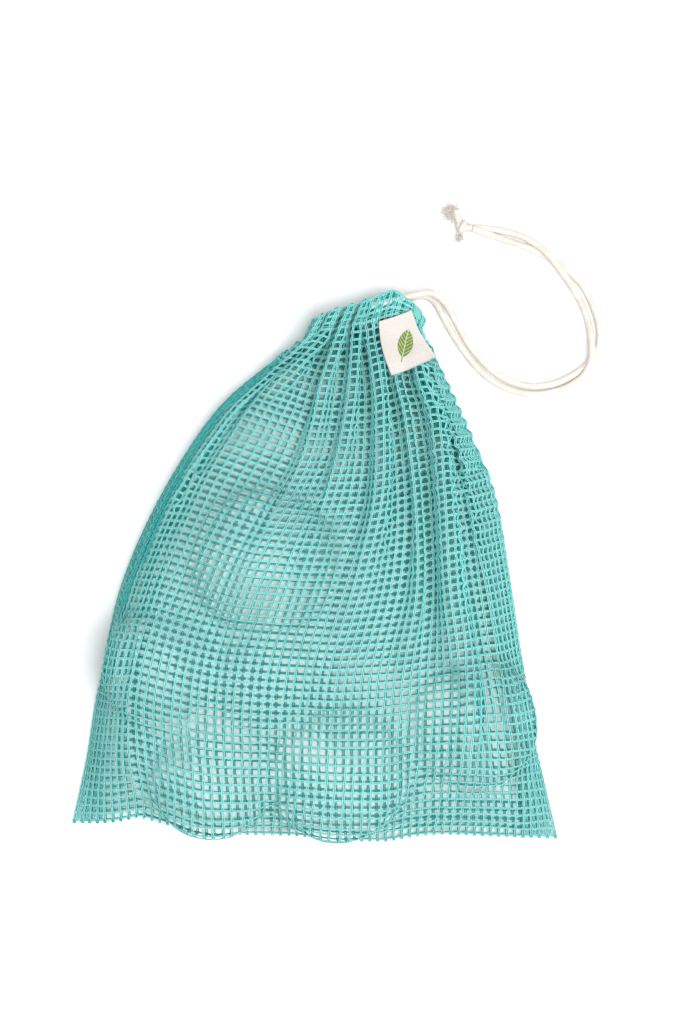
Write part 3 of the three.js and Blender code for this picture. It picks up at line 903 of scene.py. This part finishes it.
def net_height(nodes, x, y):
    """The height of the front net's top near a place."""
    near = nodes[0].reshape(-1, 3)
    away = np.hypot(near[:, 0] - x, near[:, 1] - y)
    return near[away < NET_REACH, 2].max(initial=FLOOR_NET)


def smoothed(grid):
    edged = np.pad(grid, 1, mode="edge")
    return (edged[1:-1, 1:-1] * 2 + edged[:-2, 1:-1] + edged[2:, 1:-1] + edged[1:-1, :-2]
            + edged[1:-1, 2:]) / 6


def finer(coarse, rows, columns):
    """A grid of heights at rows by columns places, straight between those of a coarse grid."""
    ys, xs = np.linspace(0, coarse.shape[0] - 1, rows), np.linspace(0, coarse.shape[1] - 1, columns)
    low_y = np.minimum(ys.astype(int), coarse.shape[0] - 2)
    low_x = np.minimum(xs.astype(int), coarse.shape[1] - 2)
    fy, fx = (ys - low_y)[:, None], (xs - low_x)[None]
    return (coarse[low_y][:, low_x] * (1 - fy) * (1 - fx) + coarse[low_y + 1][:, low_x] * fy * (1 - fx)
            + coarse[low_y][:, low_x + 1] * (1 - fy) * fx + coarse[low_y + 1][:, low_x + 1] * fy * fx)


def label_grid(nodes):
    """The label's middle surface: over the net, and down to its hinge at the sewn edge."""
    grid = np.zeros((LABEL_ALONG + 1, LABEL_ACROSS + 1, 3))
    for i in range(LABEL_ALONG + 1):
        v = i / LABEL_ALONG
        for j in range(LABEL_ACROSS + 1):
            u = j / LABEL_ACROSS
            p = bowed(LABEL_BOTTOM, u) * (1 - v) + bowed(LABEL_TOP, u) * v
            grid[i, j, :2] = p[0] - LABEL_BOW * math.sin(math.pi * v), p[1]
    coarse = np.array([[net_height(nodes, *place[:2]) for place in row[::COARSE_ACROSS]]
                       for row in grid[::COARSE_ALONG]])
    for _ in range(LABEL_SMOOTHING):
        coarse = smoothed(coarse)
    height = finer(coarse, LABEL_ALONG + 1, LABEL_ACROSS + 1)
    sewn = np.linspace(0, 1, LABEL_ALONG + 1)[:, None] ** 3
    grid[..., 2] = np.maximum(height + LABEL_LIFT, LABEL_HINGE) * (1 - sewn) + LABEL_HINGE * sewn
    return grid


def make_label(nodes, material):
    grid = label_grid(nodes)
    normals = side_normals(grid, 0)
    top, bottom = grid + normals * LABEL_THICK / 2, grid - normals * LABEL_THICK / 2
    n = (LABEL_ALONG + 1) * (LABEL_ACROSS + 1)
    index = np.arange(n).reshape(LABEL_ALONG + 1, LABEL_ACROSS + 1)
    faces = np.stack([index[:-1, :-1], index[:-1, 1:], index[1:, 1:], index[1:, :-1]], -1)
    faces = faces.reshape(-1, 4)
    rim = np.concatenate([index[0, :], index[1:, -1], index[-1, -2::-1], index[-2:0:-1, 0]])
    turned = np.roll(rim, -1)
    sides = np.stack([rim, rim + n, turned + n, turned], -1)
    quads = np.concatenate([faces, faces[:, ::-1] + n, sides[:, ::-1]])
    points = np.concatenate([top.reshape(-1, 3), bottom.reshape(-1, 3)])
    u, v = np.meshgrid(np.arange(LABEL_ACROSS + 1) / LABEL_ACROSS,
                       np.arange(LABEL_ALONG + 1) / LABEL_ALONG)
    place = np.tile((np.stack([u, v], -1) * np.array(LABEL_SIZE)).reshape(-1, 2), (2, 1))
    uv = place[quads.ravel()]
    piece = mesh_object("label_cloth", points, quads, np.zeros((0, 4), int), uv, material)
    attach(piece, "label")
    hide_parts("label")


# ---- The knot and the frayed ends ----

# Directions at the knot: along the strands towards the tail, and aside.
FORWARD = unit(np.array([-0.97, 0.26, 0.0]))
ASIDE = np.cross(UP, FORWARD)
WRAP_START, WRAP_END = -1.2, 5.4  # angles of the outer turn
WRAP_RADIUS, WRAP_DRIFT, WRAP_LEAN, WRAP_POINTS = 2.35, 2.2, 0.35, 14
WRAP_CORD, INNER_CORD, TAIL_CORD = 1.5, 1.7, 1.75  # radius of the cord, drawn tight in the knot
KNOT_STEP, KNOT_SIDES = 0.35, 20
KNOT_UP = (0.12, 0.2, 1.0)
SHORT_END = (75.4, 172.4, 2.2)  # where strand b's short end leaves the knot


def knot_turn():
    """The outer turn of the cord round the knot's middle."""
    angle = np.linspace(WRAP_START, WRAP_END, WRAP_POINTS)[:, None]
    drift = WRAP_DRIFT * (np.linspace(0, 1, WRAP_POINTS)[:, None] - 0.5)
    ring = np.cos(angle) * ASIDE + np.sin(angle) * UP
    return KNOT_PLACE + WRAP_RADIUS * ring + (drift + WRAP_LEAN * WRAP_RADIUS * np.cos(angle)) * FORWARD


def at_knot(forward, aside, up):
    return KNOT_PLACE + forward * FORWARD + aside * ASIDE + [0, 0, up]


def make_knot(material):
    a_end, b_end = np.array(STRAND_A[-1], float), np.array(STRAND_B[-1], float)
    inner = np.array([a_end, a_end + 2.0 * FORWARD + [0, 0, -0.6], at_knot(0, 1.2, 0.3),
                      at_knot(1.8, -0.6, 0), TAIL[0]])
    under = np.array([b_end, b_end + 2.4 * FORWARD + [0, 0, 0.2], at_knot(0, -0.8, -1.4),
                      at_knot(1.6, -1.4, -1.2), SHORT_END])
    bundles = []
    for line, radius in ((knot_turn(), WRAP_CORD), (inner, INNER_CORD), (under, INNER_CORD)):
        fine = evenly(line, KNOT_STEP)
        bundles.append((fine[None], np.broadcast_to(KNOT_UP, fine.shape)[None], radius))
    piece = tubes("knot", bundles, KNOT_SIDES, material, braid)
    tail = evenly(np.array(TAIL, float), KNOT_STEP)
    tail_bundle = (tail[None], np.broadcast_to(UP, tail.shape)[None], TAIL_CORD)
    return piece, tubes("cord_tail", [tail_bundle], KNOT_SIDES, material, braid)


# A frayed end: its root, the way it points, how widely its fibres spread, how many there are, the
# longest one, and the seed of its random draws.
FRAY_LONG = ((73.6, 184.4, 2.8), (-0.75, -0.12, 0.05), 0.42, 190, 7.5, 3)
FRAY_SHORT = ((75.2, 171.6, 1.9), (-0.1, -1.0, -0.1), 0.35, 70, 3.0, 4)
FIBRE_RADIUS, FIBRE_SIDES, FIBRE_POINTS = 0.11, 4, 7
FIBRE_SHORTEST = 0.45  # share of the longest one
FRAY_WIDTH, FRAY_CURL, FRAY_DROOP = 0.75, 0.28, 0.8
FIBRE_FLOOR = 0.25
FIBRE_UP = (0.1, 0.2, 1.0)


def make_fray(name, root, towards, spread, count, longest, seed, material):
    """Loose fibres that fan out from a cut end of the cord and droop to the floor."""
    random = np.random.default_rng(seed)
    towards = unit(np.array(towards, float))
    share = np.linspace(0, 1, FIBRE_POINTS)[:, None]
    lines = []
    for _ in range(count):
        start = np.array(root) + random.normal(0, FRAY_WIDTH, 3) * [1, 1, 0.7]
        way = unit(towards + random.normal(0, spread, 3) * [1, 1, 0.5])
        length = longest * random.uniform(FIBRE_SHORTEST, 1.0)
        curl = random.normal(0, FRAY_CURL, 3) * [1, 1, 0.3]
        line = start + length * (way * share + curl * share ** 2) - UP * share ** 2 * FRAY_DROOP
        line[:, 2] = np.maximum(line[:, 2], FIBRE_FLOOR)
        lines.append(line)
    lines = np.array(lines)
    bundle = (lines, np.broadcast_to(FIBRE_UP, lines.shape), FIBRE_RADIUS)
    return tubes(name, [bundle], FIBRE_SIDES, material)


def make_cord_ends(material):
    knot, tail = make_knot(material)
    long_end = make_fray("fray_long", *FRAY_LONG, material)
    short_end = make_fray("fray_short", *FRAY_SHORT, material)
    for piece, node in ((knot, "drawstring_knot"), (tail, "drawstring_tail"),
                        (long_end, "frayed_end_long"), (short_end, "frayed_end_short")):
        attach(piece, "drawstring")
        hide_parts(node)


def make_hidden_cord(material):
    """The cord inside the casing, round the mouth from one free strand to the other."""
    middle, radius = (HEIGHT_A + HEIGHT_B) / 2, (HEIGHT_A - HEIGHT_B) / 2
    straight = [at_mouth(across, TUNNEL_OFFSET, HEIGHT_A) for across in (-0.5, -6, -12, -18)]
    turn = [at_mouth(-18 - radius * math.sin(a), TUNNEL_OFFSET, middle + radius * math.cos(a))
            for a in np.linspace(0, math.pi, 9)[1:-1]]
    back = [at_mouth(across, TUNNEL_OFFSET, HEIGHT_B) for across in (-18, -12, -6, -0.5)]
    piece, _ = make_cord("casing_cord", np.array(straight + turn + back), material)
    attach(piece, "bag")
    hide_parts("drawstring_in_casing")


# ---- Build ----

make_camera()
make_studio()
COTTON = yarn_material("natural_cotton", (0.70, 0.63, 0.56), (0.90, 0.85, 0.80), turns=1.2)
# The teal's dark low colour is painted shade on each yarn's inner side, and its pale high colour a
# painted highlight on its outer side.
TEAL = yarn_material("teal_cotton", (0.0, 0.41, 0.39), (0.38, 0.86, 0.83), roughness=0.7, sheen=0.05,
                     painted_highlight_share=0.88)
THREAD_TEAL = yarn_material("teal_thread", (0.03, 0.36, 0.34), (0.30, 0.66, 0.63))
make_strands(COTTON)
make_cord_ends(COTTON)
make_hidden_cord(COTTON)
NET_NODES = drape()
make_net(NET_NODES, TEAL)
make_seams(NET_NODES, TEAL, THREAD_TEAL)
make_hem_stitches(NET_NODES, THREAD_TEAL)
make_label(NET_NODES, label_material())
